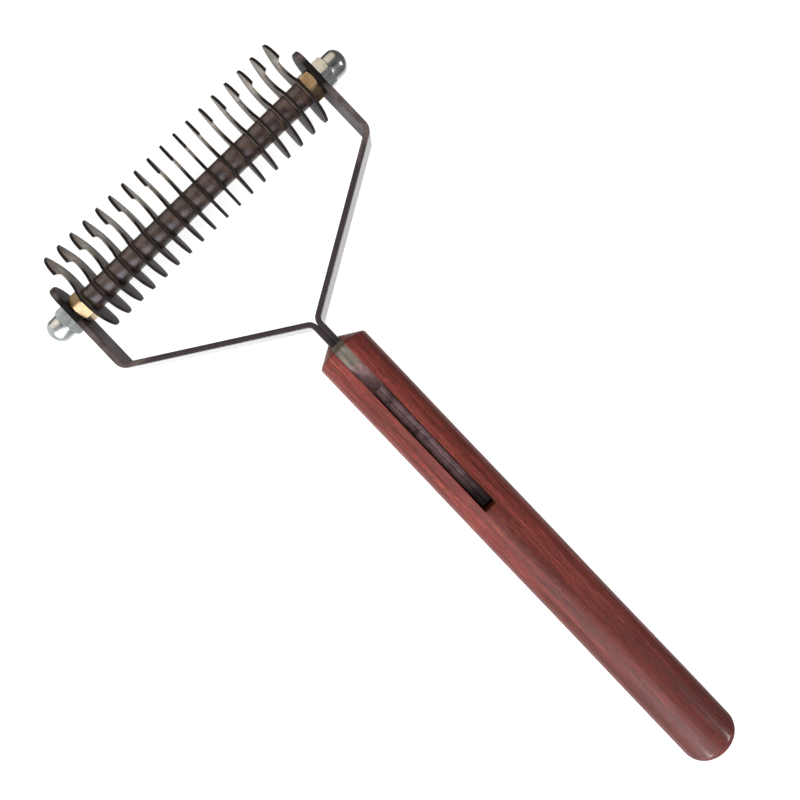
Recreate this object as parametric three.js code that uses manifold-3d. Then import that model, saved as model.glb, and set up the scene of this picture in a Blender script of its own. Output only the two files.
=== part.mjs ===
// Mane-thinning comb: a row of hooked blades on a threaded spindle, held between
// the ends of two bent steel strips whose tangs are set in a round wooden handle.
// Units are millimetres. +X runs along the spindle, +Y from the handle to the hooks
// and +Z is up. The parts are drawn about the spindle's axis, and the group is then
// lifted so that the origin is at the middle of the bounding box's bottom face.
import * as THREE from 'three';
import { mergeVertices } from 'three/addons/utils/BufferGeometryUtils.js';
import Module from 'manifold-3d';

const wasm = await Module();
wasm.setup();

// Spindle hardware, all of it M4
const ROD_RADIUS = 1.9;
const BORE_RADIUS = 2.05;
const NUT_ACROSS_FLATS = 7;
const NUT_THICKNESS = 3.2;
const CAP_LENGTH = 8;
const CAP_HEX_LENGTH = 3;
const CAP_DOME_RADIUS = 3.25;
const CAP_DOME_HEIGHT = 2.85;
const CAP_DOME_STEPS = 5;
const CAP_BORE_DEPTH = 5.6;
const ROD_REACH_IN_CAP = 5.2;
const HEX_CHAMFER_RADIUS = 3.7;
const HEX_CORNER_RADIUS = NUT_ACROSS_FLATS / Math.sqrt(3);
const TURNED_SIDES = 20;
const CHAMFER_SIDES = 24;
const ROD_LEAD = 0.4;

// How far each nut ends up turned from flats up, in degrees towards the handle
const NUT_TURNS = {
  hex_nut_left: 30,
  hex_nut_right: 2,
  cap_nut_left: 8,
  cap_nut_right: -15,
};

// Blade row
const BLADE_COUNT = 18;
const BLADE_PITCH = 4.4;
const BLADE_THICKNESS = 0.8;
const SPACER_RADIUS = 3.1;
const STACK_GAP = 0.02;
const SPACER_SIDES = 20;
const HOLE_SIDES = 16;

// Half lengths of the blade row: to the end blades' middles, and to their outer faces
const ROW_HALF = ((BLADE_COUNT - 1) * BLADE_PITCH) / 2;
const STACK_HALF = ROW_HALF + BLADE_THICKNESS / 2;

// Bent strips: the arms close on the nuts at both ends of the stack
const ARM_INNER_X = STACK_HALF + NUT_THICKNESS + 2 * STACK_GAP;
const STRIP_THICKNESS = 1.5;
const STRIP_WIDTH = 8.5;
const ARM_END_Y = 8.5;
const ARM_BEND_Y = -18.6;
const APEX_Y = -43.6;
const TANG_END_Y = -104.6;
const ARM_BEND_RADIUS = 2.75;
const APEX_BEND_RADIUS = 2.25;
const TANG_GAP = 0.06;
const ARM_HOLE_RADIUS = 2.25;
const BEND_STEPS = 6;

// Handle
const HANDLE_TIP_Y = -49.6;
const HANDLE_SHOULDER_Y = -52.9;
const HANDLE_END_Y = -187.5;
const HANDLE_RADIUS = 7.4;
const HANDLE_TIP_RADIUS = 1.9;
const HANDLE_SIDES = 40;
const BUTT_ROUNDING = 3;
const BUTT_STEPS = 5;
const SLOT_WIDTH = 3.5;
const SLOT_END_Y = -105.3;
const SLOT_FLOOR_Z = -4.6;
const FILLER_LENGTH = 7.6;
const FILLER_WALL_GAP = 0.05;
const FILLER_TANG_GAP = 0.15;

// How far a cutting solid reaches past the faces that it cuts through
const CUT_PAST = 5;

const material = (color, roughness, metalness) =>
  new THREE.MeshStandardMaterial({ color, roughness, metalness });

const comb = new THREE.Group();

function add(name, geometry, finish) {
  const mesh = new THREE.Mesh(geometry, finish);
  mesh.name = name;
  comb.add(mesh);
}

// Boolean helpers: three.js geometry to a solid and back
function toSolid(geometry) {
  const bare = new THREE.BufferGeometry();
  bare.setAttribute('position', geometry.getAttribute('position'));
  if (geometry.index) bare.setIndex(geometry.index);
  const merged = mergeVertices(bare, 1e-4);
  return new wasm.Manifold(new wasm.Mesh({
    numProp: 3,
    vertProperties: new Float32Array(merged.getAttribute('position').array),
    triVerts: new Uint32Array(merged.index.array),
  }));
}

function toGeometry(solid) {
  const mesh = solid.getMesh();
  const geometry = new THREE.BufferGeometry();
  geometry.setAttribute('position', new THREE.BufferAttribute(mesh.vertProperties, 3));
  geometry.setIndex(new THREE.BufferAttribute(mesh.triVerts, 1));
  return geometry;
}

// Turns a shape drawn in (y, z) and extruded by depth into a plate that starts at x
function plateAlongX(shape, x, depth, curveSegments) {
  const options = { depth, bevelEnabled: false, curveSegments };
  const geometry = new THREE.ExtrudeGeometry(shape, options);
  geometry.applyMatrix4(new THREE.Matrix4().makeBasis(
    new THREE.Vector3(0, 1, 0),
    new THREE.Vector3(0, 0, 1),
    new THREE.Vector3(1, 0, 0),
  ));
  return geometry.translate(x, 0, 0);
}

// A lathe profile of [radius, x] pairs turned about the X axis
function turnedAboutX(profile, segments) {
  const points = profile.map(([radius, x]) => new THREE.Vector2(radius, x));
  return new THREE.LatheGeometry(points, segments).rotateZ(-Math.PI / 2);
}

function circlePoints(radius, sides) {
  const points = [];
  for (let side = 0; side < sides; side += 1) {
    const angle = (side / sides) * 2 * Math.PI;
    points.push(new THREE.Vector2(radius * Math.cos(angle), radius * Math.sin(angle)));
  }
  return points;
}

const circleHole = (radius) => new THREE.Path(circlePoints(radius, HOLE_SIDES));

function hexagonShape(cornerRadius) {
  const shape = new THREE.Shape();
  for (let corner = 0; corner < 6; corner += 1) {
    const angle = (corner * Math.PI) / 3;
    const y = cornerRadius * Math.cos(angle);
    const z = cornerRadius * Math.sin(angle);
    if (corner === 0) shape.moveTo(y, z);
    else shape.lineTo(y, z);
  }
  shape.closePath();
  return shape;
}

// Blades: a hooked claw in front of the spindle and a blunt leaf behind it
function bladeShape() {
  const shape = new THREE.Shape();
  shape.moveTo(-7.5, -3.4);
  shape.bezierCurveTo(-7.6, 0.6, -5.9, 3.6, -3.0, 4.4);
  shape.bezierCurveTo(-1.2, 4.9, 1.0, 4.6, 2.6, 3.3);
  shape.bezierCurveTo(4.2, 2.0, 6.4, 0.6, 8.9, 1.6);
  shape.bezierCurveTo(8.5, 3.2, 8.1, 4.8, 7.5, 6.7);
  shape.bezierCurveTo(10.2, 6.8, 12.6, 5.2, 14.2, 2.8);
  shape.bezierCurveTo(13.6, -1.0, 12.0, -4.3, 8.8, -4.4);
  shape.bezierCurveTo(6.6, -4.4, 4.8, -3.9, 3.0, -4.2);
  shape.bezierCurveTo(0.5, -4.6, -1.6, -6.8, -4.2, -6.9);
  shape.bezierCurveTo(-6.2, -6.9, -7.2, -5.4, -7.5, -3.4);
  shape.holes.push(circleHole(BORE_RADIUS));
  return shape;
}

function addBlades() {
  for (let index = 0; index < BLADE_COUNT; index += 1) {
    const centre = -ROW_HALF + index * BLADE_PITCH;
    const name = `blade_${String(index + 1).padStart(2, '0')}`;
    const plate = plateAlongX(bladeShape(), centre - BLADE_THICKNESS / 2, BLADE_THICKNESS, 4);
    add(name, plate, material(0x4a4039, 0.42, 0.9));
  }
}

function addSpacers() {
  const length = BLADE_PITCH - BLADE_THICKNESS - 2 * STACK_GAP;
  for (let index = 0; index < BLADE_COUNT - 1; index += 1) {
    const centre = -ROW_HALF + (index + 0.5) * BLADE_PITCH;
    const ring = new THREE.Shape(circlePoints(SPACER_RADIUS, SPACER_SIDES));
    ring.holes.push(circleHole(BORE_RADIUS));
    const name = `spacer_${String(index + 1).padStart(2, '0')}`;
    add(name, plateAlongX(ring, centre - length / 2, length, 1), material(0x3a2c27, 0.4, 0.9));
  }
}

// Nuts: hexagons with their corners turned off, drawn with flats facing up and down
function hexBlank(x, length, chamferLow, chamferHigh) {
  const outside = HEX_CORNER_RADIUS + 0.2;
  const rise = (outside - HEX_CHAMFER_RADIUS) / 2;
  const end = x + length;
  const profile = [[0, x]];
  if (chamferLow) profile.push([HEX_CHAMFER_RADIUS, x], [outside, x + rise]);
  else profile.push([outside, x]);
  if (chamferHigh) profile.push([outside, end - rise], [HEX_CHAMFER_RADIUS, end]);
  else profile.push([outside, end]);
  profile.push([0, end]);
  const hexagon = toSolid(plateAlongX(hexagonShape(HEX_CORNER_RADIUS), x, length, 1));
  return hexagon.intersect(toSolid(turnedAboutX(profile, CHAMFER_SIDES)));
}

function addNut(name, geometry, finish) {
  add(name, geometry.rotateX(THREE.MathUtils.degToRad(NUT_TURNS[name])), finish);
}

function bore(from, to) {
  const profile = [[0, from], [BORE_RADIUS, from], [BORE_RADIUS, to], [0, to]];
  return toSolid(turnedAboutX(profile, TURNED_SIDES));
}

function addHexNuts() {
  const start = STACK_HALF + STACK_GAP;
  const blank = hexBlank(start, NUT_THICKNESS, true, true);
  const through = bore(start - CUT_PAST, start + NUT_THICKNESS + CUT_PAST);
  const right = toGeometry(blank.subtract(through));
  addNut('hex_nut_left', right.clone().rotateZ(Math.PI), material(0xb98b4a, 0.32, 1));
  addNut('hex_nut_right', right, material(0xb98b4a, 0.32, 1));
}

// Cap nuts: a hexagon against the strip and a dome that closes the thread
function addCapNuts() {
  const seat = ARM_INNER_X + STRIP_THICKNESS + STACK_GAP;
  const tip = seat + CAP_LENGTH;
  const domeStart = tip - CAP_DOME_HEIGHT;
  const insideHex = seat + CAP_HEX_LENGTH / 2;
  const profile = [[0, insideHex], [CAP_DOME_RADIUS, insideHex], [CAP_DOME_RADIUS, domeStart]];
  for (let step = 1; step < CAP_DOME_STEPS; step += 1) {
    const angle = (step / CAP_DOME_STEPS) * (Math.PI / 2);
    const height = CAP_DOME_HEIGHT * Math.sin(angle);
    profile.push([CAP_DOME_RADIUS * Math.cos(angle), domeStart + height]);
  }
  profile.push([0, tip]);
  const dome = toSolid(turnedAboutX(profile, TURNED_SIDES));
  const body = hexBlank(seat, CAP_HEX_LENGTH, false, true).add(dome);
  const right = toGeometry(body.subtract(bore(seat - CUT_PAST, seat + CAP_BORE_DEPTH)));
  addNut('cap_nut_left', right.clone().rotateZ(Math.PI), material(0xd4d8da, 0.18, 1));
  addNut('cap_nut_right', right, material(0xc9c9b4, 0.18, 1));
}

function addRod() {
  const half = ARM_INNER_X + STRIP_THICKNESS + ROD_REACH_IN_CAP;
  const endRadius = ROD_RADIUS - ROD_LEAD;
  const profile = [
    [0, -half], [endRadius, -half], [ROD_RADIUS, -half + ROD_LEAD],
    [ROD_RADIUS, half - ROD_LEAD], [endRadius, half], [0, half],
  ];
  add('threaded_rod', turnedAboutX(profile, TURNED_SIDES), material(0x77746f, 0.4, 1));
}

// Bent strips: the centre line of one side, with its corners rounded
function bentCentreLine(corners, radii) {
  const line = [{ point: corners[0], normal: null }];
  for (let index = 1; index < corners.length - 1; index += 1) {
    const before = corners[index].clone().sub(corners[index - 1]).normalize();
    const after = corners[index + 1].clone().sub(corners[index]).normalize();
    const turn = Math.atan2(before.cross(after), before.dot(after));
    const radius = radii[index - 1];
    const setback = radius * Math.tan(Math.abs(turn) / 2);
    const start = corners[index].clone().addScaledVector(before, -setback);
    const side = Math.sign(turn);
    const toCentre = new THREE.Vector2(-before.y, before.x).multiplyScalar(side);
    const centre = start.clone().addScaledVector(toCentre, radius);
    for (let step = 0; step <= BEND_STEPS; step += 1) {
      const angle = (turn * step) / BEND_STEPS;
      const point = start.clone().rotateAround(centre, angle);
      const direction = before.clone().rotateAround(new THREE.Vector2(), angle);
      line.push({ point, normal: new THREE.Vector2(-direction.y, direction.x) });
    }
  }
  line.push({ point: corners[corners.length - 1], normal: null });
  line[0].normal = line[1].normal;
  line[line.length - 1].normal = line[line.length - 2].normal;
  return line;
}

function stripSolid(side) {
  const armX = side * (ARM_INNER_X + STRIP_THICKNESS / 2);
  const tangX = side * (TANG_GAP / 2 + STRIP_THICKNESS / 2);
  const corners = [
    new THREE.Vector2(armX, ARM_END_Y),
    new THREE.Vector2(armX, ARM_BEND_Y),
    new THREE.Vector2(tangX, APEX_Y),
    new THREE.Vector2(tangX, TANG_END_Y),
  ];
  const line = bentCentreLine(corners, [ARM_BEND_RADIUS, APEX_BEND_RADIUS]);
  const half = STRIP_THICKNESS / 2;
  const leftSide = line.map(({ point, normal }) => point.clone().addScaledVector(normal, half));
  const rightSide = line.map(({ point, normal }) => point.clone().addScaledVector(normal, -half));
  const outline = new THREE.Shape([...leftSide, ...rightSide.reverse()]);
  const ribbon = new THREE.ExtrudeGeometry(outline, { depth: STRIP_WIDTH, bevelEnabled: false });
  ribbon.translate(0, 0, -STRIP_WIDTH / 2);

  const endRadius = STRIP_WIDTH / 2;
  const silhouette = new THREE.Shape();
  silhouette.moveTo(TANG_END_Y - CUT_PAST, -endRadius);
  silhouette.lineTo(ARM_END_Y - endRadius, -endRadius);
  silhouette.absarc(ARM_END_Y - endRadius, 0, endRadius, -Math.PI / 2, Math.PI / 2, false);
  silhouette.lineTo(TANG_END_Y - CUT_PAST, endRadius);
  silhouette.closePath();
  silhouette.holes.push(circleHole(ARM_HOLE_RADIUS));
  const reach = ARM_INNER_X + CUT_PAST;
  const cutter = plateAlongX(silhouette, -reach, 2 * reach, 8);
  return toSolid(ribbon).intersect(toSolid(cutter));
}

function addStrips() {
  add('frame_strip_right', toGeometry(stripSolid(1)), material(0x443a36, 0.4, 0.9));
  add('frame_strip_left', toGeometry(stripSolid(-1)), material(0x3c3634, 0.4, 0.9));
}

// Handle: a turned stick with a coned front, a rounded butt and a sawn slot.
// The filler is cut from the same stick made smaller by shrink.
function handleBlank(shrink) {
  const radius = HANDLE_RADIUS - shrink;
  const profile = [[0, HANDLE_END_Y]];
  for (let step = 0; step <= BUTT_STEPS; step += 1) {
    const angle = (step / BUTT_STEPS) * (Math.PI / 2);
    const ring = radius - BUTT_ROUNDING * (1 - Math.sin(angle));
    profile.push([ring, HANDLE_END_Y + BUTT_ROUNDING * (1 - Math.cos(angle))]);
  }
  profile.push([radius, HANDLE_SHOULDER_Y]);
  profile.push([HANDLE_TIP_RADIUS - shrink, HANDLE_TIP_Y]);
  profile.push([0, HANDLE_TIP_Y]);
  const points = profile.map(([ring, y]) => new THREE.Vector2(ring, y));
  return toSolid(new THREE.LatheGeometry(points, HANDLE_SIDES));
}

function block(low, high) {
  const size = high.clone().sub(low);
  const box = new THREE.BoxGeometry(size.x, size.y, size.z);
  const middle = low.clone().add(high).multiplyScalar(0.5);
  return toSolid(box.translate(middle.x, middle.y, middle.z));
}

function addHandle() {
  const slot = block(
    new THREE.Vector3(-SLOT_WIDTH / 2, SLOT_END_Y, SLOT_FLOOR_Z),
    new THREE.Vector3(SLOT_WIDTH / 2, HANDLE_TIP_Y + CUT_PAST, HANDLE_RADIUS + CUT_PAST),
  );
  add('handle', toGeometry(handleBlank(0).subtract(slot)), material(0x7a3b33, 0.35, 0));
}

function addFiller() {
  const half = SLOT_WIDTH / 2 - FILLER_WALL_GAP;
  const bed = block(
    new THREE.Vector3(-half, HANDLE_TIP_Y - FILLER_LENGTH, STRIP_WIDTH / 2 + FILLER_TANG_GAP),
    new THREE.Vector3(half, HANDLE_TIP_Y + CUT_PAST, HANDLE_RADIUS + CUT_PAST),
  );
  const flush = handleBlank(FILLER_WALL_GAP).intersect(bed);
  add('slot_filler', toGeometry(flush), material(0x8f8672, 0.7, 0));
}

addBlades();
addSpacers();
addHexNuts();
addCapNuts();
addRod();
addStrips();
addHandle();
addFiller();

const box = new THREE.Box3().setFromObject(comb);
comb.position.set(0, -(box.min.y + box.max.y) / 2, -box.min.z);

export default comb;
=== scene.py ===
"""Looks of a bladed mane-thinning comb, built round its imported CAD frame.

Lengths in the tables below are millimetres; everything handed to Blender is in metres.
The comb lies on a pale floor. +X runs along the spindle, +Y towards the hooks, +Z up.
"""

import math
import random

import bmesh
import bpy
from mathutils import Matrix, Vector


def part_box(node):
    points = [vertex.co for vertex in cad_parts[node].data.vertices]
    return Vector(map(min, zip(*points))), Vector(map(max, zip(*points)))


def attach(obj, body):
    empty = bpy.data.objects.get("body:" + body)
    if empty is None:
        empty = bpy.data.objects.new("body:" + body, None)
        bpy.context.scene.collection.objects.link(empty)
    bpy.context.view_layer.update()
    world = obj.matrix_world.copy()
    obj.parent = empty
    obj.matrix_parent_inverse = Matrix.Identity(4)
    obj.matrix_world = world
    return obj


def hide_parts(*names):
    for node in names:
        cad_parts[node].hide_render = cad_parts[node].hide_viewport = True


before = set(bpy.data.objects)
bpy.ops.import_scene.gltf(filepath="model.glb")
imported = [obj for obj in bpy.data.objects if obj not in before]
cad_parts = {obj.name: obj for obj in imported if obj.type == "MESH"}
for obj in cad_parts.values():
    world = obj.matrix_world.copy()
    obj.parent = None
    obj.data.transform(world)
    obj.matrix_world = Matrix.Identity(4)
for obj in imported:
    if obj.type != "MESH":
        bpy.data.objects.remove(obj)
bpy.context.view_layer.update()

MM = 0.001
random.seed(11)

rod_low, rod_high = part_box("threaded_rod")
SPINDLE = (rod_low + rod_high) / 2


# ---------------------------------------------------------------- camera
CAMERA_HEIGHT = 160 * MM            # above the spindle
CAMERA_BACK = 71.7 * MM             # from the spindle towards the handle
CAMERA_RIGHT = 5.1 * MM
AIM_RIGHT = 1.85 * MM
CAMERA_ROLL = math.radians(-43.6)
LENS, SENSOR_WIDTH = 28.8, 36
NEAR, FAR = 0.01, 10


def make_camera():
    data = bpy.data.cameras.new("camera")
    data.lens = LENS
    data.sensor_width = SENSOR_WIDTH
    data.clip_start = NEAR
    data.clip_end = FAR
    camera = bpy.data.objects.new("camera", data)
    bpy.context.scene.collection.objects.link(camera)
    place = SPINDLE + Vector((CAMERA_RIGHT, -CAMERA_BACK, CAMERA_HEIGHT))
    aim = SPINDLE + Vector((AIM_RIGHT, -CAMERA_BACK, 0))
    ahead = (aim - place).normalized()
    right = Vector((math.cos(CAMERA_ROLL), math.sin(CAMERA_ROLL), 0))
    right = (right - ahead * right.dot(ahead)).normalized()
    up = right.cross(ahead)
    turn = Matrix((right, up, -ahead)).transposed().to_4x4()
    camera.matrix_world = Matrix.Translation(place) @ turn
    bpy.context.scene.camera = camera


make_camera()


# ---------------------------------------------------------------- mesh helpers
WELD = 1e-7                         # metres; vertices closer than this are one
WELD_ON_AXIS = 1e-8                 # the same, for rings that close to a point
# Degrees between faces beyond which an edge is drawn sharp.
PLAIN_SHARP, BLADE_SHARP, TURNED_SHARP, NUT_SHARP = 30, 24, 35, 20
STRIP_SHARP, HANDLE_SHARP, FILLER_SHARP = 40, 38, 60


def shade_smooth(mesh, smooth_angle):
    """Smooth shading, except across edges where faces meet at more than the angle."""
    for face in mesh.faces:
        face.smooth = True
    for edge in mesh.edges:
        if len(edge.link_faces) == 2:
            edge.smooth = edge.calc_face_angle(0) < math.radians(smooth_angle)


def finish_mesh(name, mesh, material, smooth_angle=PLAIN_SHARP):
    """Makes a shaded object of a bmesh, and frees the bmesh."""
    bmesh.ops.remove_doubles(mesh, verts=mesh.verts, dist=WELD)
    bmesh.ops.recalc_face_normals(mesh, faces=mesh.faces)
    data = bpy.data.meshes.new(name)
    shade_smooth(mesh, smooth_angle)
    mesh.to_mesh(data)
    mesh.free()
    made = bpy.data.objects.new(name, data)
    bpy.context.scene.collection.objects.link(made)
    data.materials.append(material)
    return made


def place_piece(piece, node, body):
    """Parents a piece to the body that it moves with, and hides the CAD node that it takes the
    place of.
    """
    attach(piece, body)
    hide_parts(node)


def close_poles(mesh):
    """Collapses the rings of a turned body that have no radius."""
    bmesh.ops.remove_doubles(mesh, verts=mesh.verts, dist=WELD_ON_AXIS)
    bmesh.ops.dissolve_degenerate(mesh, dist=WELD_ON_AXIS, edges=mesh.edges)


def join_rings(mesh, first, second):
    """A closed band of faces between two rings of vertices."""
    for index in range(len(first)):
        after = (index + 1) % len(first)
        mesh.faces.new((first[index], first[after], second[after], second[index]))


def add_bevel(piece, name, width, segments, limit):
    """Rounds the edges that are sharper than the limit, in degrees; the width is in mm."""
    bevel = piece.modifiers.new(name, "BEVEL")
    bevel.width = width * MM
    bevel.segments = segments
    bevel.limit_method = "ANGLE"
    bevel.angle_limit = math.radians(limit)


def apply_modifiers(piece):
    """Turns a piece's modifiers into plain mesh."""
    graph = bpy.context.evaluated_depsgraph_get()
    data = bpy.data.meshes.new_from_object(piece.evaluated_get(graph))
    piece.modifiers.clear()
    piece.data = data


def sharpen(piece, smooth_angle):
    """Shades a finished piece again, after its modifiers have changed the mesh."""
    mesh = bmesh.new()
    mesh.from_mesh(piece.data)
    shade_smooth(mesh, smooth_angle)
    mesh.to_mesh(piece.data)
    mesh.free()


def bezier(p0, p1, p2, p3, steps):
    """Points along a cubic curve, without its last one."""
    points = []
    for step in range(steps):
        t = step / steps
        u = 1 - t
        points.append(tuple(
            u ** 3 * a + 3 * u * u * t * b + 3 * u * t * t * c + t ** 3 * d
            for a, b, c, d in zip(p0, p1, p2, p3)
        ))
    return points


# ---------------------------------------------------------------- material helpers
class Nodes:
    """A short way to write a node tree."""

    def __init__(self, name):
        self.material = bpy.data.materials.new(name)
        self.material.use_nodes = True
        self.tree = self.material.node_tree
        self.tree.nodes.clear()
        self.out = self.tree.nodes.new("ShaderNodeOutputMaterial")
        self.shader = self.tree.nodes.new("ShaderNodeBsdfPrincipled")
        self.link(self.shader.outputs[0], self.out.inputs[0])

    def link(self, a, b):
        self.tree.links.new(a, b)

    def new(self, kind, **settings):
        node = self.tree.nodes.new("ShaderNode" + kind)
        for key, value in settings.items():
            setattr(node, key, value)
        return node

    def set(self, socket, value):
        """Links a socket to another, or gives it a constant."""
        if isinstance(value, bpy.types.NodeSocket):
            self.link(value, socket)
        else:
            socket.default_value = value

    def coords(self, scale, turn=(0, 0, 0)):
        """Object coordinates scaled per axis; a scale of 1000 gives millimetres."""
        texture = self.new("TexCoord")
        mapping = self.new("Mapping")
        mapping.inputs["Scale"].default_value = scale
        mapping.inputs["Rotation"].default_value = turn
        self.link(texture.outputs["Object"], mapping.inputs["Vector"])
        return mapping.outputs[0]

    def noise(self, vector, detail=4.0, roughness=0.55, distortion=0.0):
        """Noise whose fineness comes from the coordinates alone."""
        node = self.new("TexNoise")
        self.link(vector, node.inputs["Vector"])
        node.inputs["Scale"].default_value = 1.0
        node.inputs["Detail"].default_value = detail
        node.inputs["Roughness"].default_value = roughness
        node.inputs["Distortion"].default_value = distortion
        return node.outputs["Fac"]

    def ramp(self, factor, stops):
        node = self.new("ValToRGB")
        elements = node.color_ramp.elements
        while len(elements) < len(stops):
            elements.new(0.5)
        for element, (position, colour) in zip(elements, stops):
            element.position = position
            element.color = rgb(*colour)
        self.link(factor, node.inputs[0])
        return node.outputs[0]

    def span(self, value, low, high, to_low=0.0, to_high=1.0):
        """Carries a value from one range to another, and holds it at the ends."""
        node = self.new("MapRange")
        self.set(node.inputs[0], value)
        for socket, number in zip(node.inputs[1:5], (low, high, to_low, to_high)):
            socket.default_value = number
        return node.outputs[0]

    def math(self, operation, a, b=0.0, clamp=False):
        node = self.new("Math", operation=operation, use_clamp=clamp)
        self.set(node.inputs[0], a)
        self.set(node.inputs[1], b)
        return node.outputs[0]

    def mix(self, factor, a, b):
        node = self.new("Mix", data_type="RGBA")
        self.set(node.inputs[0], factor)
        self.set(node.inputs[6], a)
        self.set(node.inputs[7], b)
        return node.outputs[2]

    def bump(self, height, strength, distance):
        node = self.new("Bump")
        node.inputs["Strength"].default_value = strength
        node.inputs["Distance"].default_value = distance
        self.link(height, node.inputs["Height"])
        return node.outputs[0]

    def attribute(self, name):
        return self.new("Attribute", attribute_name=name).outputs["Fac"]


def rgb(red, green, blue):
    return (red, green, blue, 1)


# ---------------------------------------------------------------- materials
GRIP_START, BUTT_END = -0.030, -0.095   # Y in metres; the wood darkens from one to the other


def wood_material():
    """Reddish-brown hardwood under thin lacquer: lengthwise grain, olive flecks, short pores."""
    n = Nodes("rosewood")
    broad = n.noise(n.coords((95, 6, 95)), detail=3, distortion=0.8)
    streak = n.noise(n.coords((820, 34, 820)), detail=6, roughness=0.72, distortion=0.4)
    fibre = n.noise(n.coords((3000, 190, 3000)), detail=4, roughness=0.65)
    fleck = n.noise(n.coords((1500, 420, 1500)), detail=3, roughness=0.6)
    pore = n.noise(n.coords((3600, 900, 3600)), detail=2, roughness=0.5)
    tone = n.math("ADD", n.math("MULTIPLY", broad, 0.42), n.math("MULTIPLY", streak, 0.58))
    colour = n.ramp(tone, [
        (0.40, (0.078, 0.0130, 0.0110)),
        (0.47, (0.165, 0.0290, 0.0245)),
        (0.53, (0.258, 0.0480, 0.0390)),
        (0.60, (0.370, 0.0830, 0.0610)),
    ])
    colour = n.mix(n.span(fleck, 0.48, 0.64, 0.0, 0.60), colour, rgb(0.130, 0.0500, 0.0200))
    colour = n.mix(n.span(fibre, 0.38, 0.66, 0.0, 0.70), colour, rgb(0.085, 0.0150, 0.0125))
    split = n.new("SeparateXYZ")
    n.link(n.coords((1, 1, 1)), split.inputs[0])
    handled = n.span(split.outputs["Y"], GRIP_START, BUTT_END, 0.0, 0.58)
    colour = n.mix(handled, colour, rgb(0.075, 0.0150, 0.0130))
    pores = n.span(pore, 0.55, 0.68)
    colour = n.mix(n.math("MULTIPLY", pores, 0.72), colour, rgb(0.042, 0.020, 0.013))
    n.link(colour, n.shader.inputs["Base Color"])
    n.link(n.span(fibre, 0.3, 0.7, 0.42, 0.62), n.shader.inputs["Roughness"])
    grain = n.math("SUBTRACT", n.math("MULTIPLY", fibre, 0.7), pores)
    n.link(n.bump(grain, 0.45, 0.00006), n.shader.inputs["Normal"])
    n.shader.inputs["Specular IOR Level"].default_value = 0.10
    n.shader.inputs["Coat Weight"].default_value = 0.17
    n.shader.inputs["Coat Roughness"].default_value = 0.16
    return n.material


FILM_ROUGHNESS = 0.50
TONE_STOPS = (0.36, 0.50, 0.66)     # where the noise takes each of the film's three tones


def oxide_material(name, tones, shade_and_edge_tone, worn_tone, specular):
    """Black-oxidised steel: a mottled film with fine scratches, painted over by attributes.

    shade_and_dark_edges: painted shade on the blades' rims and tails, and the darker edges of the
    yoke's legs
    wear: rubbed towards bare metal
    polish: the glossy outer faces of the strips
    hole_darkening: near-black on the strips round the spindle hole
    dust_and_seam_light: what the bedding compound leaves on the tangs, and painted light on the
    tangs in the slot
    """
    n = Nodes(name)
    cloud = n.noise(n.coords((330, 330, 330)), detail=5, roughness=0.6)
    speck = n.noise(n.coords((2100, 2100, 2100)), detail=3, roughness=0.6)
    tone = n.math("ADD", n.math("MULTIPLY", cloud, 0.65), n.math("MULTIPLY", speck, 0.35))
    colour = n.ramp(tone, list(zip(TONE_STOPS, tones)))
    # painted shade: the blades' rims and tails are darkened; on the strips, the legs' edges are
    # darker
    colour = n.mix(n.attribute("shade_and_dark_edges"), colour, rgb(*shade_and_edge_tone))
    patchy = n.span(cloud, 0.35, 0.62, 0.3, 1.0)
    wear = n.math("MULTIPLY", n.attribute("wear"), patchy, clamp=True)
    colour = n.mix(wear, colour, rgb(*worn_tone))
    # compound left on the tangs, and painted light: the tangs in the shaded slot are lightened,
    # most along their seam
    patchy = n.span(cloud, 0.36, 0.52, 0.25, 1.0)
    dust_and_seam_light = n.math("MULTIPLY", n.attribute("dust_and_seam_light"), patchy, clamp=True)
    colour = n.mix(dust_and_seam_light, colour, rgb(0.280, 0.180, 0.192))
    # darkest on the strips round the spindle hole
    colour = n.mix(n.attribute("hole_darkening"), colour, rgb(0.006, 0.005, 0.005))
    n.link(colour, n.shader.inputs["Base Color"])
    n.shader.inputs["Metallic"].default_value = 0.15
    n.shader.inputs["Specular IOR Level"].default_value = specular
    polish = n.attribute("polish")
    n.link(polish, n.shader.inputs["Coat Weight"])
    n.shader.inputs["Coat Roughness"].default_value = 0.18
    n.shader.inputs["Specular Tint"].default_value = rgb(0.70, 0.66, 0.68)
    smooth = n.math("ADD", n.math("MULTIPLY", wear, 0.12), n.math("MULTIPLY", polish, 0.16))
    film = n.span(speck, 0.3, 0.7, FILM_ROUGHNESS - 0.06, FILM_ROUGHNESS + 0.10)
    n.link(n.math("SUBTRACT", film, smooth), n.shader.inputs["Roughness"])
    scratch = n.noise(n.coords((900, 90, 4200), (0.2, 0.3, 0.1)), detail=3)
    height = n.math("ADD", n.math("MULTIPLY", speck, 0.7), n.math("MULTIPLY", scratch, 0.4))
    n.link(n.bump(height, 0.14, 0.00003), n.shader.inputs["Normal"])
    return n.material


def turned_steel_material():
    """Dark spacers under a film of oil, with the fine rings that the lathe tool leaves."""
    n = Nodes("spacer_steel")
    cloud = n.noise(n.coords((420, 420, 420)), detail=5, roughness=0.6)
    rings = n.noise(n.coords((9000, 40, 40)), detail=2)
    colour = n.ramp(cloud, [
        (0.36, (0.026, 0.014, 0.009)),
        (0.52, (0.050, 0.027, 0.017)),
        (0.68, (0.082, 0.048, 0.032)),
    ])
    n.link(colour, n.shader.inputs["Base Color"])
    n.shader.inputs["Metallic"].default_value = 0.1
    n.shader.inputs["Specular IOR Level"].default_value = 0.85
    n.shader.inputs["Specular Tint"].default_value = rgb(0.92, 0.92, 1.0)
    n.link(n.span(cloud, 0.3, 0.7, 0.22, 0.34), n.shader.inputs["Roughness"])
    n.link(n.bump(rings, 0.15, 0.00002), n.shader.inputs["Normal"])
    return n.material


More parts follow.
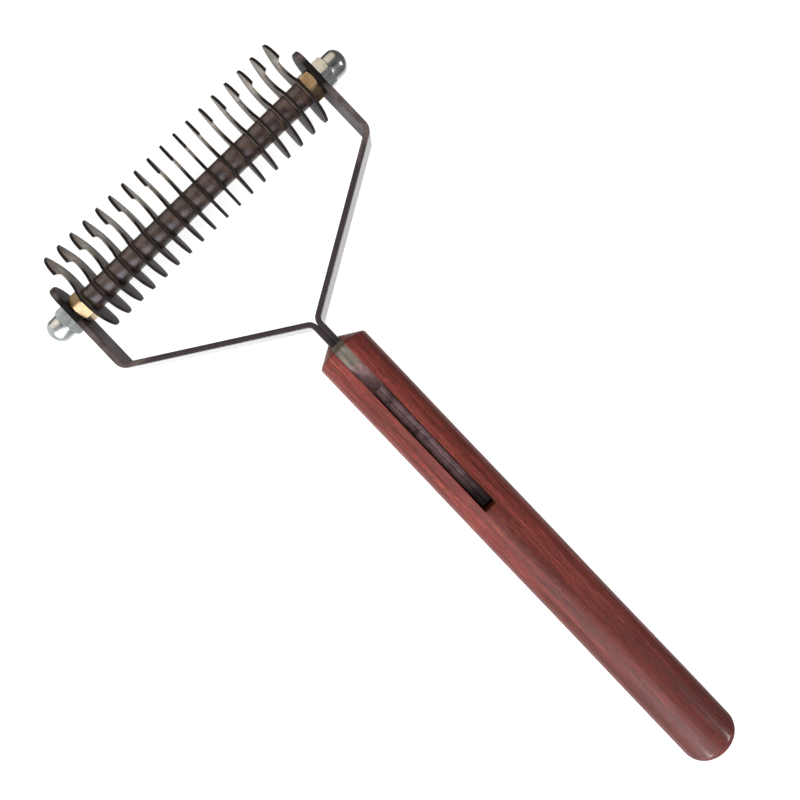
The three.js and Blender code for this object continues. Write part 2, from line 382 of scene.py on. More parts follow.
def plated_material(name, low, high, rough, rough_spread):
    """Zinc or nickel plate: slow colour drift and a light haze."""
    n = Nodes(name)
    drift = n.noise(n.coords((260, 260, 260)), detail=2)
    haze = n.noise(n.coords((1500, 1500, 1500)), detail=4, roughness=0.65)
    n.link(n.ramp(drift, [(0.38, low), (0.62, high)]), n.shader.inputs["Base Color"])
    n.shader.inputs["Metallic"].default_value = 1.0
    n.link(n.span(haze, 0.3, 0.7, rough, rough + rough_spread), n.shader.inputs["Roughness"])
    n.link(n.bump(haze, 0.03, 0.00001), n.shader.inputs["Normal"])
    return n.material


def filler_material():
    """Pale bedding compound, darker in its groove and reddish with sawdust where it sinks."""
    n = Nodes("tang_filler")
    cloud = n.noise(n.coords((500, 260, 500)), detail=5, roughness=0.6)
    grit = n.noise(n.coords((3000, 3000, 3000)), detail=3)
    colour = n.ramp(cloud, [
        (0.35, (0.078, 0.061, 0.047)),
        (0.52, (0.126, 0.099, 0.077)),
        (0.68, (0.184, 0.143, 0.116)),
    ])
    # darker along the bead's groove
    colour = n.mix(n.math("MULTIPLY", n.attribute("groove"), 0.8), colour, rgb(0.085, 0.086, 0.062))
    reddish = n.ramp(cloud, [
        (0.36, (0.072, 0.036, 0.034)),
        (0.64, (0.165, 0.078, 0.076)),
    ])
    colour = n.mix(n.span(n.attribute("sunk"), 0.0, 0.12), colour, reddish)
    n.link(colour, n.shader.inputs["Base Color"])
    n.link(n.span(grit, 0.3, 0.7, 0.55, 0.75), n.shader.inputs["Roughness"])
    n.link(n.bump(grit, 0.5, 0.00006), n.shader.inputs["Normal"])
    return n.material


FLOOR_GLOW = 0.9                    # the floor's own light, which keeps it pale


def floor_material():
    """Plain white paper, lit a little from within so that shadows on it stay faint."""
    n = Nodes("floor")
    paper = n.noise(n.coords((900, 900, 900)), detail=2)
    white = n.ramp(paper, [(0.3, (0.29, 0.29, 0.29)), (0.7, (0.31, 0.31, 0.31))])
    n.link(white, n.shader.inputs["Base Color"])
    n.shader.inputs["Roughness"].default_value = 0.8
    n.shader.inputs["Specular IOR Level"].default_value = 0.0
    n.shader.inputs["Emission Color"].default_value = rgb(1, 1, 1)
    n.shader.inputs["Emission Strength"].default_value = FLOOR_GLOW
    return n.material


WOOD = wood_material()
FRAME_STEEL = oxide_material(
    "frame_steel", ((0.034, 0.025, 0.024), (0.062, 0.046, 0.044), (0.102, 0.077, 0.072)),
    (0.030, 0.023, 0.025), (0.170, 0.136, 0.122), 0.18)
# the blades' near-black third colour is the painted shade of their rims and tails
BLADE_STEEL = oxide_material(
    "blade_steel", ((0.120, 0.092, 0.070), (0.205, 0.160, 0.124), (0.300, 0.242, 0.190)),
    (0.013, 0.010, 0.009), (0.330, 0.290, 0.240), 0.12)
SPACER_STEEL = turned_steel_material()
ROD_STEEL = plated_material("rod_steel", (0.20, 0.19, 0.18), (0.30, 0.29, 0.27), 0.30, 0.15)
YELLOW_ZINC = plated_material(
    "yellow_zinc", (0.34, 0.235, 0.125), (0.46, 0.335, 0.195), 0.24, 0.10)
NICKEL = plated_material("bright_nickel", (0.42, 0.43, 0.40), (0.55, 0.56, 0.53), 0.15, 0.05)
FILLER = filler_material()


# ---------------------------------------------------------------- blades
BLADE_THICKNESS = 0.8
BORE_RADIUS = 2.05
TAIL, CROWN, ARM_TOP = (-7.5, -3.4), (-3.0, 4.4), (2.6, 3.3)
NOTCH, BARB, NOSE = (8.9, 1.6), (7.5, 6.7), (14.16, 2.8)
BELLY, WAIST, HEEL = (8.8, -4.4), (3.0, -4.2), (-4.2, -6.9)
BLADE_CURVES = [
    (TAIL, (-7.6, 0.6), (-5.9, 3.6), CROWN),
    (CROWN, (-1.2, 4.9), (1.0, 4.6), ARM_TOP),
    (ARM_TOP, (4.2, 2.0), (6.4, 0.6), NOTCH),
    (NOTCH, (8.5, 3.2), (8.1, 4.8), BARB),
    (BARB, (10.2, 6.8), (12.6, 5.2), NOSE),
    (NOSE, (13.6, -1.0), (12.0, -4.3), BELLY),
    (BELLY, (6.6, -4.4), (4.8, -3.9), WAIST),
    (WAIST, (0.5, -4.6), (-1.6, -6.8), HEEL),
    (HEEL, (-6.2, -6.9), (-7.2, -5.4), TAIL),
]
CURVE_STEPS = 14
THROAT_CURVE, CUTTING_CURVE = 2, 3  # the arm's top edge, and the sharpened inside of the claw
EDGE_BREAK = 0.07                   # how far the ordinary edges are rounded off
GRIND_WIDTH = 0.75                  # how wide the sharpened bevel is
GRIND_RIM = 0.05                    # half thickness left at the sharp edge
TAIL_START, TAIL_SHADE = -3.2, 0.90   # painted shade: the tails, behind this Y, are darker
BLADE_SWING = 0.7                   # degrees that a blade may be turned from true
FACE_SCALE = 0.25                   # how much painted shade the flat faces take, where the cut rims take 1
BORE_SIDES = 32


def blade_grind(curve, t):
    """0 for an ordinary edge, up to 1 where the edge is sharpened."""
    if curve == THROAT_CURVE:
        return max(0.0, (t - 0.45) / 0.55) ** 1.5
    if curve == CUTTING_CURVE:
        return min(1.0, (1 - t) / 0.45)
    return 0.0


def blade_loops():
    """The outline, its inset copy, half the rim's thickness, and how ground each point is."""
    outline, grind = [], []
    for index, curve in enumerate(BLADE_CURVES):
        outline += [Vector(p) for p in bezier(*curve, CURVE_STEPS)]
        grind += [blade_grind(index, step / CURVE_STEPS) for step in range(CURVE_STEPS)]
    inset = []
    count = len(outline)
    for index, point in enumerate(outline):
        ahead = (outline[(index + 1) % count] - point).normalized()
        behind = (point - outline[index - 1]).normalized()
        along = (ahead + behind).normalized()
        inward = Vector((along.y, -along.x))
        width = EDGE_BREAK + (GRIND_WIDTH - EDGE_BREAK) * grind[index]
        inset.append(point + inward * width)
    half = BLADE_THICKNESS / 2
    rim = [half - EDGE_BREAK - (half - EDGE_BREAK - GRIND_RIM) * g for g in grind]
    return outline, inset, rim, grind


def circle(radius, sides):
    """Points round a circle, in order."""
    angles = [2 * math.pi * side / sides for side in range(sides)]
    return [(radius * math.cos(angle), radius * math.sin(angle)) for angle in angles]


def make_blade(node, outline, inset, rim, grind):
    """One blade: two flat faces, a rounded or sharpened rim, and the hole for the rod."""
    low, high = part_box(node)
    centre = Vector(((low.x + high.x) / 2, SPINDLE.y, SPINDLE.z))
    turn = math.radians(random.uniform(-BLADE_SWING, BLADE_SWING))
    cosine, sine = math.cos(turn), math.sin(turn)
    mesh = bmesh.new()
    wear = mesh.verts.layers.float.new("wear")
    shade_and_dark_edges = mesh.verts.layers.float.new("shade_and_dark_edges")

    def ring(points, offsets, dark, ground):
        made = []
        for (y, z), x, worn in zip(points, offsets, ground):
            # painted shade: darker behind the tail's start, and on the rims more than on the faces
            tail_shaded = TAIL_SHADE if y < TAIL_START else 0.0
            place = Vector((x, y * cosine - z * sine, y * sine + z * cosine)) * MM
            vertex = mesh.verts.new(centre + place)
            vertex[wear] = worn
            vertex[shade_and_dark_edges] = max(dark, tail_shaded)
            made.append(vertex)
        return made

    half = BLADE_THICKNESS / 2
    hole = circle(BORE_RADIUS, BORE_SIDES)
    rim_rings, hole_rings = [], []
    for side in (-1, 1):
        face_ring = ring(inset, [side * half] * len(inset), FACE_SCALE, grind)
        rim_ring = ring(outline, [side * r for r in rim], 1.0, grind)
        hole_ring = ring(hole, [side * half] * BORE_SIDES, 1.0, [0.0] * BORE_SIDES)
        join_rings(mesh, face_ring, rim_ring)
        edges = []
        for loop in (face_ring, hole_ring):
            for index, vertex in enumerate(loop):
                pair = (vertex, loop[(index + 1) % len(loop)])
                edges.append(mesh.edges.get(pair) or mesh.edges.new(pair))
        bmesh.ops.triangle_fill(mesh, edges=edges, use_beauty=True)
        rim_rings.append(rim_ring)
        hole_rings.append(hole_ring)
    join_rings(mesh, *rim_rings)
    join_rings(mesh, *hole_rings)
    blade = finish_mesh(node + "_ground", mesh, BLADE_STEEL, BLADE_SHARP)
    place_piece(blade, node, "blade_row")


def nodes_named(start):
    """The CAD nodes whose names begin in one way, in order."""
    return sorted(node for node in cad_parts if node.startswith(start))


def make_blades():
    loops = blade_loops()
    for node in nodes_named("blade_"):
        make_blade(node, *loops)


make_blades()


# ---------------------------------------------------------------- turned and hexagonal pieces
HEX_FLATS = 7.0
CORNER_SHARPNESS = 70               # a higher number eases the corners less
NUT_SEGMENTS, SPACER_SEGMENTS = 144, 64


def hex_radius(angle):
    """Radius of a hexagon with flats up and down and slightly eased corners."""
    total = 0.0
    for side in range(6):
        lean = math.cos(angle - math.radians(30 + 60 * side))
        if lean > 0:
            total += lean ** CORNER_SHARPNESS
    return (HEX_FLATS / 2) / total ** (1 / CORNER_SHARPNESS)


def make_turned(name, stations, segments, material, smooth_angle, turn=0.0):
    """A closed body of revolution about the spindle, turned by an angle.

    Each station is (x, radius, whether it is cut to a hexagon).
    """
    mesh = bmesh.new()
    angles = [2 * math.pi * k / segments for k in range(segments)]
    rings = []
    for x, radius, hexed in stations:
        ring = []
        for angle in angles:
            r = min(radius, hex_radius(angle)) if hexed else radius
            place = Vector((x, r * math.cos(angle + turn), r * math.sin(angle + turn))) * MM
            ring.append(mesh.verts.new(Vector((0, SPINDLE.y, SPINDLE.z)) + place))
        rings.append(ring)
    for first, second in zip(rings, rings[1:] + rings[:1]):
        join_rings(mesh, first, second)
    close_poles(mesh)
    return finish_mesh(name, mesh, material, smooth_angle)


def arc(centre_x, centre_r, radius_x, radius_r, start, end, steps):
    """Stations on part of an ellipse; angles in degrees, 0 along +X and 90 away from the axis."""
    stations = []
    for step in range(steps + 1):
        angle = math.radians(start + (end - start) * step / steps)
        x = centre_x + radius_x * math.cos(angle)
        stations.append((x, centre_r + radius_r * math.sin(angle), False))
    return stations


SPACER_ROUNDING = 0.16
ROUNDING_STEPS = 4


def make_spacers():
    for node in nodes_named("spacer_"):
        low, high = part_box(node)
        left, right, radius = low.x / MM, high.x / MM, (high.z - low.z) / MM / 2
        rounding = SPACER_ROUNDING
        shelf = radius - rounding
        stations = [(left, BORE_RADIUS, False), (left, shelf, False)]
        stations += arc(left + rounding, shelf, rounding, rounding, 180, 90, ROUNDING_STEPS)[1:]
        stations += arc(right - rounding, shelf, rounding, rounding, 90, 0, ROUNDING_STEPS)
        stations += [(right, BORE_RADIUS, False)]
        spacer = make_turned(
            node + "_turned", stations, SPACER_SEGMENTS, SPACER_STEEL, TURNED_SHARP)
        place_piece(spacer, node, "blade_row")


HEX_CORNER = HEX_FLATS / math.sqrt(3)
FACE_RADIUS = 3.3                   # flat end face of a nut, inside its chamfer
CHAMFER_RISE = 0.42
CHAMFER_STEPS = 6
NUT_TURNS = {                       # degrees towards the handle from flats up
    "hex_nut_left": 30,
    "hex_nut_right": 2,
    "cap_nut_left": 8,
    "cap_nut_right": -15,
}


def chamfer_stations(x, direction):
    """The turned-off corners at one end of a hexagon, from the end face inwards."""
    stations = []
    for step in range(CHAMFER_STEPS + 1):
        share = step / CHAMFER_STEPS
        radius = FACE_RADIUS + (HEX_CORNER - FACE_RADIUS) * share
        stations.append((x + direction * CHAMFER_RISE * share ** 1.15, radius, True))
    return stations


BORE_SINK = 0.25                    # the countersink at each end of a nut's bore


def make_hex_nuts():
    for node in ("hex_nut_left", "hex_nut_right"):
        low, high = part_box(node)
        left, right = low.x / MM, high.x / MM
        mouth = BORE_RADIUS + BORE_SINK
        stations = [(left + BORE_SINK, BORE_RADIUS, False), (left, mouth, False)]
        stations += chamfer_stations(left, 1)
        stations += list(reversed(chamfer_stations(right, -1)))
        stations += [(right, mouth, False), (right - BORE_SINK, BORE_RADIUS, False)]
        turn = math.radians(NUT_TURNS[node])
        nut = make_turned(node + "_plated", stations, NUT_SEGMENTS, YELLOW_ZINC, NUT_SHARP, turn)
        place_piece(nut, node, "blade_row")


CAP_HEX_LENGTH = 3.0
DOME_STEPS = 16
CAP_DOME_RADIUS = 3.25
CAP_DOME_HEIGHT = 2.75
CAP_NECK = 0.22                     # rounding between the hexagon and the dome
CAP_BORE_DEPTH, BORE_POINT = 5.6, 0.5   # the blind bore ends in a short cone
CAP_SEAT = ((0.0, 3.45), (0.06, 3.6), (0.10, HEX_CORNER))   # x, radius: its eased seating edge
CAP_NUTS = (("cap_nut_left", -1, "cap_left"), ("cap_nut_right", 1, "cap_right"))


def make_cap_nuts():
    for node, outward, body in CAP_NUTS:
        low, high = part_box(node)
        seat = (high.x if outward < 0 else low.x) / MM
        tip = (low.x if outward < 0 else high.x) / MM
        length = abs(tip - seat)
        neck = CAP_NECK
        shelf = CAP_DOME_RADIUS - neck
        dome_start = length - CAP_DOME_HEIGHT
        profile = [(0.0, BORE_RADIUS, False)] + [(x, r, True) for x, r in CAP_SEAT]
        profile += [(CAP_HEX_LENGTH - x, r, h) for x, r, h in reversed(chamfer_stations(0, 1))]
        profile += [(CAP_HEX_LENGTH, shelf, False)]
        profile += arc(CAP_HEX_LENGTH + neck, shelf, neck, neck, 180, 90, ROUNDING_STEPS)[1:]
        profile += arc(dome_start, 0.0, CAP_DOME_HEIGHT, CAP_DOME_RADIUS, 90, 0, DOME_STEPS)
        profile += [(CAP_BORE_DEPTH, 0.0, False)]
        profile += [(CAP_BORE_DEPTH - BORE_POINT, BORE_RADIUS, False)]
        stations = [(seat + outward * x, r, h) for x, r, h in profile]
        turn = math.radians(NUT_TURNS[node])
        cap = make_turned(node + "_plated", stations, NUT_SEGMENTS, NICKEL, NUT_SHARP, turn)
        place_piece(cap, node, body)


make_spacers()
make_hex_nuts()
make_cap_nuts()


# ---------------------------------------------------------------- bent strips
STRIP_THICKNESS = 1.5
STRIP_HALF_WIDTH = 4.25
ARM_END = 8.5                       # beyond the spindle
ARM_HOLE_RADIUS = 2.25
ARM_BEND, APEX = -18.6, -43.6       # where the centre line turns, measured from the spindle
TANG_END = -104.6
ARM_BEND_RADIUS, APEX_BEND_RADIUS = 2.75, 2.25
BEND_STEPS = 12
TANG_GAP = 0.06
STRIP_ROUNDING = 0.2
PATCH_RAYS = 48                     # spokes of the mesh round the spindle hole
PATCH_RINGS = 5
SPAN = 4.0                          # longest mesh step on straight stretches


def bent_line(arm_x, tang_x):
    """Centre line of one strip, from just behind the spindle to the end of its tang."""
    corners = [Vector((arm_x, -STRIP_HALF_WIDTH)), Vector((arm_x, ARM_BEND)),
               Vector((tang_x, APEX)), Vector((tang_x, TANG_END))]
    marks = [corners[0]]
    for index, radius in ((1, ARM_BEND_RADIUS), (2, APEX_BEND_RADIUS)):
        before = (corners[index] - corners[index - 1]).normalized()
        after = (corners[index + 1] - corners[index]).normalized()
        turn = math.atan2(before.x * after.y - before.y * after.x, before.dot(after))
        start = corners[index] - before * radius * math.tan(abs(turn) / 2)
        side = math.copysign(1, turn)
        centre = start + Vector((-before.y, before.x)) * side * radius
        for step in range(BEND_STEPS + 1):
            spoke = start - centre
            spoke.rotate(Matrix.Rotation(turn * step / BEND_STEPS, 2))
            marks.append(centre + spoke)
    marks.append(corners[3])
    line = [marks[0]]
    for mark in marks[1:]:
        gap = mark - line[-1]
        pieces = max(1, math.ceil(gap.length / SPAN))
        start = line[-1].copy()
        line += [start + gap * (k + 1) / pieces for k in range(pieces)]
    return line


def arm_edge(angle):
    """From the spindle to the arm's edge, at an angle in the arm's own plane; 0 is +Y."""
    y, z = math.cos(angle), math.sin(angle)
    reach = 1e9
    if abs(z) > 1e-9:
        reach = STRIP_HALF_WIDTH / abs(z)
    if y < -1e-9:
        reach = min(reach, STRIP_HALF_WIDTH / -y)
    centre = ARM_END - STRIP_HALF_WIDTH
    if y * reach > centre:
        along = y * centre
        reach = along + math.sqrt(STRIP_HALF_WIDTH ** 2 - centre ** 2 + along ** 2)
    return reach


def make_strip(node, side):
    """A bent strip: spokes round its spindle hole, then rows along its centre line."""
    low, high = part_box(node)
    arm_x = (high.x if side > 0 else low.x) / MM - side * STRIP_THICKNESS / 2
    tang_x = side * (TANG_GAP + STRIP_THICKNESS) / 2
    mesh = bmesh.new()

    def vertex(x, y, z):
        return mesh.verts.new(Vector((x * MM, SPINDLE.y + y * MM, SPINDLE.z + z * MM)))

    spokes = []
    for ray in range(PATCH_RAYS):
        angle = 2 * math.pi * ray / PATCH_RAYS
        reach = arm_edge(angle)
        spoke = []
        for ring in range(PATCH_RINGS + 1):
            radius = ARM_HOLE_RADIUS + (reach - ARM_HOLE_RADIUS) * ring / PATCH_RINGS
            spoke.append(vertex(arm_x, radius * math.cos(angle), radius * math.sin(angle)))
        spokes.append(spoke)
    for ray in range(PATCH_RAYS):
        first, second = spokes[ray], spokes[(ray + 1) % PATCH_RAYS]
        for ring in range(PATCH_RINGS):
            mesh.faces.new((first[ring], first[ring + 1], second[ring + 1], second[ring]))
    quarter = PATCH_RAYS // 8
    half = PATCH_RAYS // 2
    row = [spokes[ray][-1] for ray in range(half - quarter, half + quarter + 1)]
    heights = [(v.co.z - SPINDLE.z) / MM for v in row]
    for point in bent_line(arm_x, tang_x)[1:]:
        new_row = [vertex(point.x, point.y, z) for z in heights]
        for k in range(len(row) - 1):
            mesh.faces.new((row[k], row[k + 1], new_row[k + 1], new_row[k]))
        row = new_row
    strip = finish_mesh(node + "_forged", mesh, FRAME_STEEL)
    solid = strip.modifiers.new("thickness", "SOLIDIFY")
    solid.thickness = STRIP_THICKNESS * MM
    solid.offset = 0
    solid.use_even_offset = True
    add_bevel(strip, "edges", STRIP_ROUNDING, 3, 50)
    apply_modifiers(strip)
    paint_strip(strip, side)
    sharpen(strip, STRIP_SHARP)
    place_piece(strip, node, "frame")


HOLE_DARK_END = 6.5                     # the near-black round the spindle hole fades out here, over the last millimetre
EDGE_BAND = 0.25                    # points this near the strip's edge count as on it
ARM_WEAR, LEG_DARKENING = 0.35, 0.8     # arms are rubbed at the edge, the legs' edges are darker
LEG_START = -21.0                   # the arms end and the yoke's legs begin
BED_START, BED_END = -58.5, -98.5   # where the tangs are lightened: compound left on them, and painted light
BED_FADE_IN, BED_FADE_OUT = 4, 3
SEAM_REACH, OFF_SEAM = 0.5, 0.55    # the compound is thinner and the painted light weaker away from the seam between the tangs, towards the slot's shaded walls


def paint_strip(piece, side):
    """Writes the attributes that FRAME_STEEL reads: per point, and polish per face."""
    data = piece.data
    mesh = bmesh.new()
    mesh.from_mesh(data)
    paint = {"wear": [], "shade_and_dark_edges": [], "hole_darkening": [], "dust_and_seam_light": []}
    for vertex in mesh.verts:
        place = (vertex.co - SPINDLE) / MM
        edge = abs(place.z) > STRIP_HALF_WIDTH - EDGE_BAND or place.y > ARM_END - EDGE_BAND
        arm = place.y > LEG_START
        paint["wear"].append(ARM_WEAR if edge and arm else 0.0)
        paint["shade_and_dark_edges"].append(LEG_DARKENING if edge and not arm else 0.0)
        # darkest round the spindle hole
        reach = math.hypot(place.y, place.z)
        paint["hole_darkening"].append(max(0.0, min(1.0, HOLE_DARK_END - reach)))
        # compound and painted light on the tangs in the slot
        behind, before = (BED_START - place.y) / BED_FADE_IN, (place.y - BED_END) / BED_FADE_OUT
        dust_and_seam_light = max(0.0, min(1.0, behind, before))
        paint["dust_and_seam_light"].append(dust_and_seam_light if abs(place.x) < SEAM_REACH else OFF_SEAM * dust_and_seam_light)
    polish = [1.0 if face.normal.x * side > 0.3 else 0.0 for face in mesh.faces]
    mesh.free()
    for name, values in paint.items():
        data.attributes.new(name, "FLOAT", "POINT").data.foreach_set("value", values)
    data.attributes.new("polish", "FLOAT", "FACE").data.foreach_set("value", polish)


make_strip("frame_strip_left", -1)
make_strip("frame_strip_right", 1)


# ---------------------------------------------------------------- handle
HANDLE_RADIUS = 7.4
TIP_Y, SHOULDER_Y, BUTT_Y = -49.6, -52.9, -187.5
TIP_RADIUS = 1.9
BUTT_ROUNDING = 3.0
SHOULDER_ROUNDING = 0.35
WAVE_DEPTH, WAVE_RATE = 0.03, 0.11  # the turned body is very slightly wavy
HANDLE_SEGMENTS, BUTT_STEPS, BODY_STEPS, CONE_STEPS = 128, 12, 44, 8
SLOT_HALF_WIDTH = 1.75
SLOT_END = -105.3
SLOT_FLOOR = -4.6
SAW_PAST_TIP, SAW_TOP = 3, 12       # the cutter for the slot reaches clear of the wood
SLOT_ROUNDING = 0.18


def handle_profile():
    """(radius, y) pairs from the butt's middle to the tip's middle."""
    profile = [(0.0, BUTT_Y), (1.4, BUTT_Y), (2.8, BUTT_Y)]
    centre = HANDLE_RADIUS - BUTT_ROUNDING
    for step in range(BUTT_STEPS + 1):
        angle = math.radians(90 * step / BUTT_STEPS)
        profile.append((centre + BUTT_ROUNDING * math.sin(angle),
                        BUTT_Y + BUTT_ROUNDING * (1 - math.cos(angle))))
    start = BUTT_Y + BUTT_ROUNDING
    length = SHOULDER_Y - SHOULDER_ROUNDING - start
    for step in range(1, BODY_STEPS + 1):
        y = start + length * step / BODY_STEPS
        profile.append((HANDLE_RADIUS - WAVE_DEPTH * (1 - math.cos(y * WAVE_RATE)), y))
    slope = math.atan2(HANDLE_RADIUS - TIP_RADIUS, TIP_Y - SHOULDER_Y)
    for share in (0.35, 1.0):
        radius = HANDLE_RADIUS - SHOULDER_ROUNDING * share * math.sin(slope) * share
        y = SHOULDER_Y - SHOULDER_ROUNDING * (1 - share) + SHOULDER_ROUNDING * 0.4 * share
        profile.append((radius, y))
    for step in range(1, CONE_STEPS + 1):
        share = step / CONE_STEPS
        radius = HANDLE_RADIUS - 0.3 + (TIP_RADIUS + 0.1 - HANDLE_RADIUS + 0.3) * share
        profile.append((radius, SHOULDER_Y + 0.15 + (TIP_Y - 0.06 - SHOULDER_Y - 0.15) * share))
    profile += [(TIP_RADIUS - 0.05, TIP_Y), (0.9, TIP_Y), (0.0, TIP_Y)]
    return profile


def lathe_about_handle(name, profile, segments, material):
    """A body of revolution about the handle's axis, from (radius, y) pairs."""
    mesh = bmesh.new()
    rings = []
    for radius, y in profile:
        ring = []
        for k in range(segments):
            angle = 2 * math.pi * k / segments
            ring.append(mesh.verts.new((radius * math.cos(angle) * MM, SPINDLE.y + y * MM,
                                        SPINDLE.z + radius * math.sin(angle) * MM)))
        rings.append(ring)
    for first, second in zip(rings, rings[1:]):
        join_rings(mesh, first, second)
    close_poles(mesh)
    return finish_mesh(name, mesh, material)


def cutter_box(name, low, high):
    mesh = bmesh.new()
    bmesh.ops.create_cube(mesh, size=1.0)
    for vertex in mesh.verts:
        vertex.co = Vector(a + (b - a) * (c + 0.5) for a, b, c in zip(low, high, vertex.co))
    return finish_mesh(name, mesh, WOOD)


def make_handle():
    handle = lathe_about_handle("handle_wood", handle_profile(), HANDLE_SEGMENTS, WOOD)
    low = (-SLOT_HALF_WIDTH * MM, SPINDLE.y + SLOT_END * MM, SPINDLE.z + SLOT_FLOOR * MM)
    tip = SPINDLE.y + (TIP_Y + SAW_PAST_TIP) * MM
    high = (SLOT_HALF_WIDTH * MM, tip, SPINDLE.z + SAW_TOP * MM)
    saw = cutter_box("saw", low, high)
    cut = handle.modifiers.new("slot", "BOOLEAN")
    cut.operation = "DIFFERENCE"
    cut.solver = "EXACT"
    cut.object = saw
    add_bevel(handle, "ease", SLOT_ROUNDING, 2, 48)
    apply_modifiers(handle)
    bpy.data.objects.remove(saw)
    sharpen(handle, HANDLE_SHARP)
    place_piece(handle, "handle", "frame")


make_handle()


# ---------------------------------------------------------------- filler over the tangs
BEAD_LENGTH = 7.6
SMEAR_LENGTH = 9.0                  # behind the bead, the compound sinks down to the tangs
BEAD_HALF_WIDTH = 1.80
SMEAR_HALF_WIDTH = 1.70
TANG_TOP = 4.25
FILLER_ACROSS, FILLER_ALONG = 20, 64    # cells of its mesh
LUMPS = ((0.05, 0.9, 3), (0.04, 2.3, -2))   # height, waves along and waves across
GROOVE_DEPTH, GROOVE_WIDTH = 0.22, 0.25     # the second is a share of the half width
BELOW_WOOD = 0.12                   # how far the bead's edges lie below the wood


def crown_height(x, y):
    """Height of the handle's surface above its axis at a point of its upper side."""
    radius = HANDLE_RADIUS
    if y > SHOULDER_Y:
        share = (y - SHOULDER_Y) / (TIP_Y - SHOULDER_Y)
        radius += (TIP_RADIUS - HANDLE_RADIUS) * share
    return math.sqrt(max(radius * radius - x * x, 0.01))


def filler_top(u, depth):
    """The compound's half width, its height, and its groove and sunk attributes.

    depth is the distance behind the handle's tip, and u runs from -1 to 1 across.
    """
    lump = sum(rise * math.sin(a * depth + b * u) for rise, a, b in LUMPS)
    if depth < BEAD_LENGTH:
        share = depth / BEAD_LENGTH
        half = BEAD_HALF_WIDTH + (SMEAR_HALF_WIDTH - BEAD_HALF_WIDTH) * share ** 3
        sunk = 0.0
    else:
        share = (depth - BEAD_LENGTH) / SMEAR_LENGTH
        half = SMEAR_HALF_WIDTH
        sunk = 3 * share ** 2 - 2 * share ** 3
    crown = crown_height(u * half, TIP_Y - depth)
    groove = math.exp(-(u / GROOVE_WIDTH) ** 2) * min(1.0, depth / 1.2) * (1 - sunk)
    rim = min(1.0, (1 - abs(u)) * 6)
    swell = rim * (0.04 * (1 - u * u) + 0.8 * lump)
    proud = crown - BELOW_WOOD + swell - GROOVE_DEPTH * groove
    level = proud + (TANG_TOP + 0.08 + 0.5 * lump - proud) * sunk
    return half, level, groove, sunk


def make_filler():
    """A lumpy bead in the slot's mouth, and the compound behind it that sinks down to the tangs."""
    mesh = bmesh.new()
    groove_layer = mesh.verts.layers.float.new("groove")
    sunk_layer = mesh.verts.layers.float.new("sunk")
    across, along = FILLER_ACROSS, FILLER_ALONG
    top, bottom = [], []
    for j in range(along + 1):
        depth = (BEAD_LENGTH + SMEAR_LENGTH) * j / along
        y = SPINDLE.y + (TIP_Y - depth) * MM
        top_row, bottom_row = [], []
        for i in range(across + 1):
            u = 2 * i / across - 1
            half, level, groove, sunk = filler_top(u, depth)
            vertex = mesh.verts.new((u * half * MM, y, SPINDLE.z + level * MM))
            vertex[groove_layer] = groove
            vertex[sunk_layer] = sunk
            top_row.append(vertex)
            over_edge = abs(u * half) > SMEAR_HALF_WIDTH
            floor = level - 0.06 if over_edge else min(level - 0.04, TANG_TOP + 0.03)
            bottom_row.append(mesh.verts.new((u * half * MM, y, SPINDLE.z + floor * MM)))
        top.append(top_row)
        bottom.append(bottom_row)
    for j in range(along):
        for i in range(across):
            mesh.faces.new((top[j][i], top[j + 1][i], top[j + 1][i + 1], top[j][i + 1]))
            mesh.faces.new((bottom[j][i], bottom[j][i + 1], bottom[j + 1][i + 1], bottom[j + 1][i]))
        for i in (0, across):
            mesh.faces.new((top[j][i], bottom[j][i], bottom[j + 1][i], top[j + 1][i]))
    for i in range(across):
        for j in (0, along):
            mesh.faces.new((top[j][i], top[j][i + 1], bottom[j][i + 1], bottom[j][i]))
    filler = finish_mesh("filler_bead", mesh, FILLER, FILLER_SHARP)
    place_piece(filler, "slot_filler", "frame")


make_filler()


# ---------------------------------------------------------------- carried-over rod
def dress_rod():
    """The CAD's own rod has the right shape, so it only gets a better material."""
    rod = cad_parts["threaded_rod"]
    rod.data.materials.clear()
    rod.data.materials.append(ROD_STEEL)


dress_rod()


# ---------------------------------------------------------------- floor and light
FLOOR_SIZE = 1.5                    # metres
FLOOR_DROP = 0.0002                 # metres, clear of the lowest pieces


def make_floor():
    """A plain floor that neither tints the comb nor shows in its reflections."""
    mesh = bmesh.new()
    bmesh.ops.create_grid(mesh, x_segments=8, y_segments=8, size=FLOOR_SIZE)
    floor = finish_mesh("floor", mesh, floor_material())
    floor.location.z = -FLOOR_DROP
    floor.visible_glossy = False
    floor.visible_diffuse = False


LEFT_GLOW, RIGHT_GLOW = (0.98, 1.03, 1.06), (0.17, 0.165, 0.175)
BACKDROP = (0.93, 0.93, 0.93)       # what the camera sees behind the floor
LEFT_X, RIGHT_X = -0.75, 0.30       # the glow falls from left to right between these
# Soft panels: direction, angle of the full part, angle where it has faded out, and the
# colour with its strength. Angles are in degrees from the direction.
PANELS = [
    ((-0.56, -0.62, 0.56), 12, 42, (3.10, 3.20, 3.40)),
    ((-0.57, -0.72, 0.40), 6, 9, (32.0, 32.6, 33.6)),
    ((0.57, -0.72, 0.40), 6, 9, (32.0, 32.6, 33.6)),
    ((0.10, -0.05, -1.0), 25, 60, (0.85, 0.84, 0.84)),
    ((0.10, 0.80, 0.62), 22, 44, (0.95, 0.83, 0.66)),
]
# Dark patches: direction, angles as above, share of the glow taken away.
SHADES = [
    ((0.0, -0.41, 0.91), 8, 20, 0.7),
    ((0.0, 1.0, -0.05), 20, 34, 0.6),
]


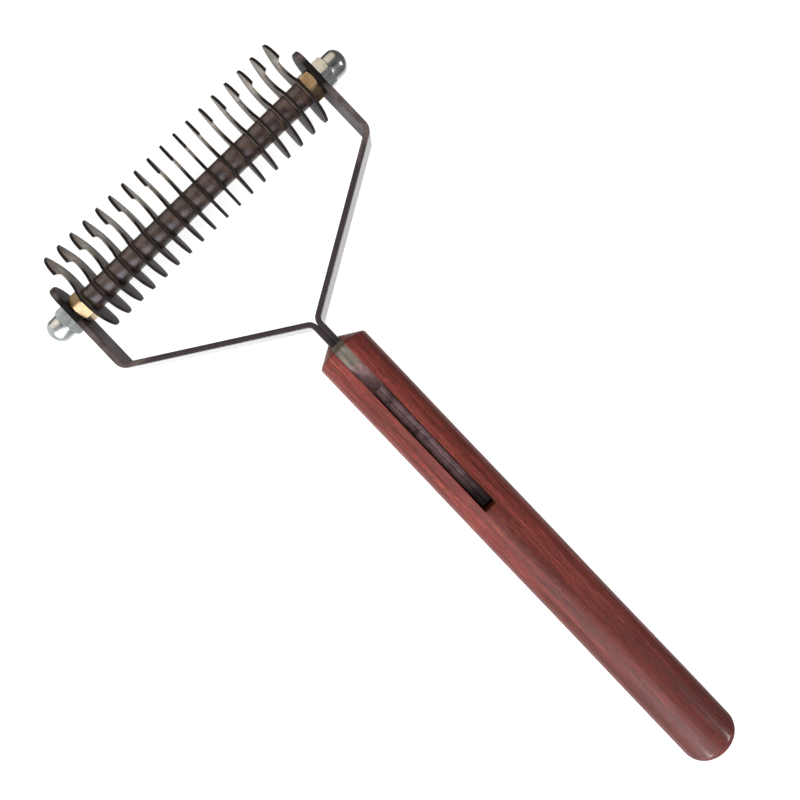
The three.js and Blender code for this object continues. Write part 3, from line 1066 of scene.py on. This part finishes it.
def make_world():
    """A soft studio: bright and cool on the left, dim on the right, with soft panels round it."""
    world = bpy.data.worlds.new("studio")
    bpy.context.scene.world = world
    world.use_nodes = True
    tree = world.node_tree
    background = tree.nodes["Background"]
    direction = tree.nodes.new("ShaderNodeTexCoord").outputs["Generated"]

    def ease(value, low, high, to_high):
        """A soft step from 0 to the last number, between low and high."""
        node = tree.nodes.new("ShaderNodeMapRange")
        node.interpolation_type = "SMOOTHSTEP"
        tree.links.new(value, node.inputs[0])
        for socket, number in zip(node.inputs[1:5], (low, high, 0.0, to_high)):
            socket.default_value = number
        return node.outputs[0]

    def nearness(aim, full, faded, peak=1.0):
        """0 far from a direction, the peak close to it; the angles are in degrees."""
        dot = tree.nodes.new("ShaderNodeVectorMath")
        dot.operation = "DOT_PRODUCT"
        dot.inputs[1].default_value = Vector(aim).normalized()
        tree.links.new(direction, dot.inputs[0])
        low, high = math.cos(math.radians(faded)), math.cos(math.radians(full))
        return ease(dot.outputs["Value"], low, high, peak)

    def blend(kind, factor, below, colour):
        node = tree.nodes.new("ShaderNodeMix")
        node.data_type = "RGBA"
        node.blend_type = kind
        tree.links.new(factor, node.inputs[0])
        tree.links.new(below, node.inputs[6])
        node.inputs[7].default_value = rgb(*colour)
        return node.outputs[2]

    split = tree.nodes.new("ShaderNodeSeparateXYZ")
    tree.links.new(direction, split.inputs[0])
    start = tree.nodes.new("ShaderNodeRGB").outputs[0]
    start.default_value = rgb(*LEFT_GLOW)
    glow = blend("MIX", ease(split.outputs["X"], LEFT_X, RIGHT_X, 1.0), start, RIGHT_GLOW)
    for aim, full, faded, taken in SHADES:
        glow = blend("MULTIPLY", nearness(aim, full, faded, taken), glow, (0, 0, 0))
    for aim, full, faded, colour in PANELS:
        glow = blend("ADD", nearness(aim, full, faded), glow, colour)
    seen = tree.nodes.new("ShaderNodeLightPath").outputs["Is Camera Ray"]
    tree.links.new(blend("MIX", seen, glow, BACKDROP), background.inputs["Color"])


make_floor()
make_world()

view = bpy.context.scene.view_settings
view.view_transform = "Standard"
view.look = "None"
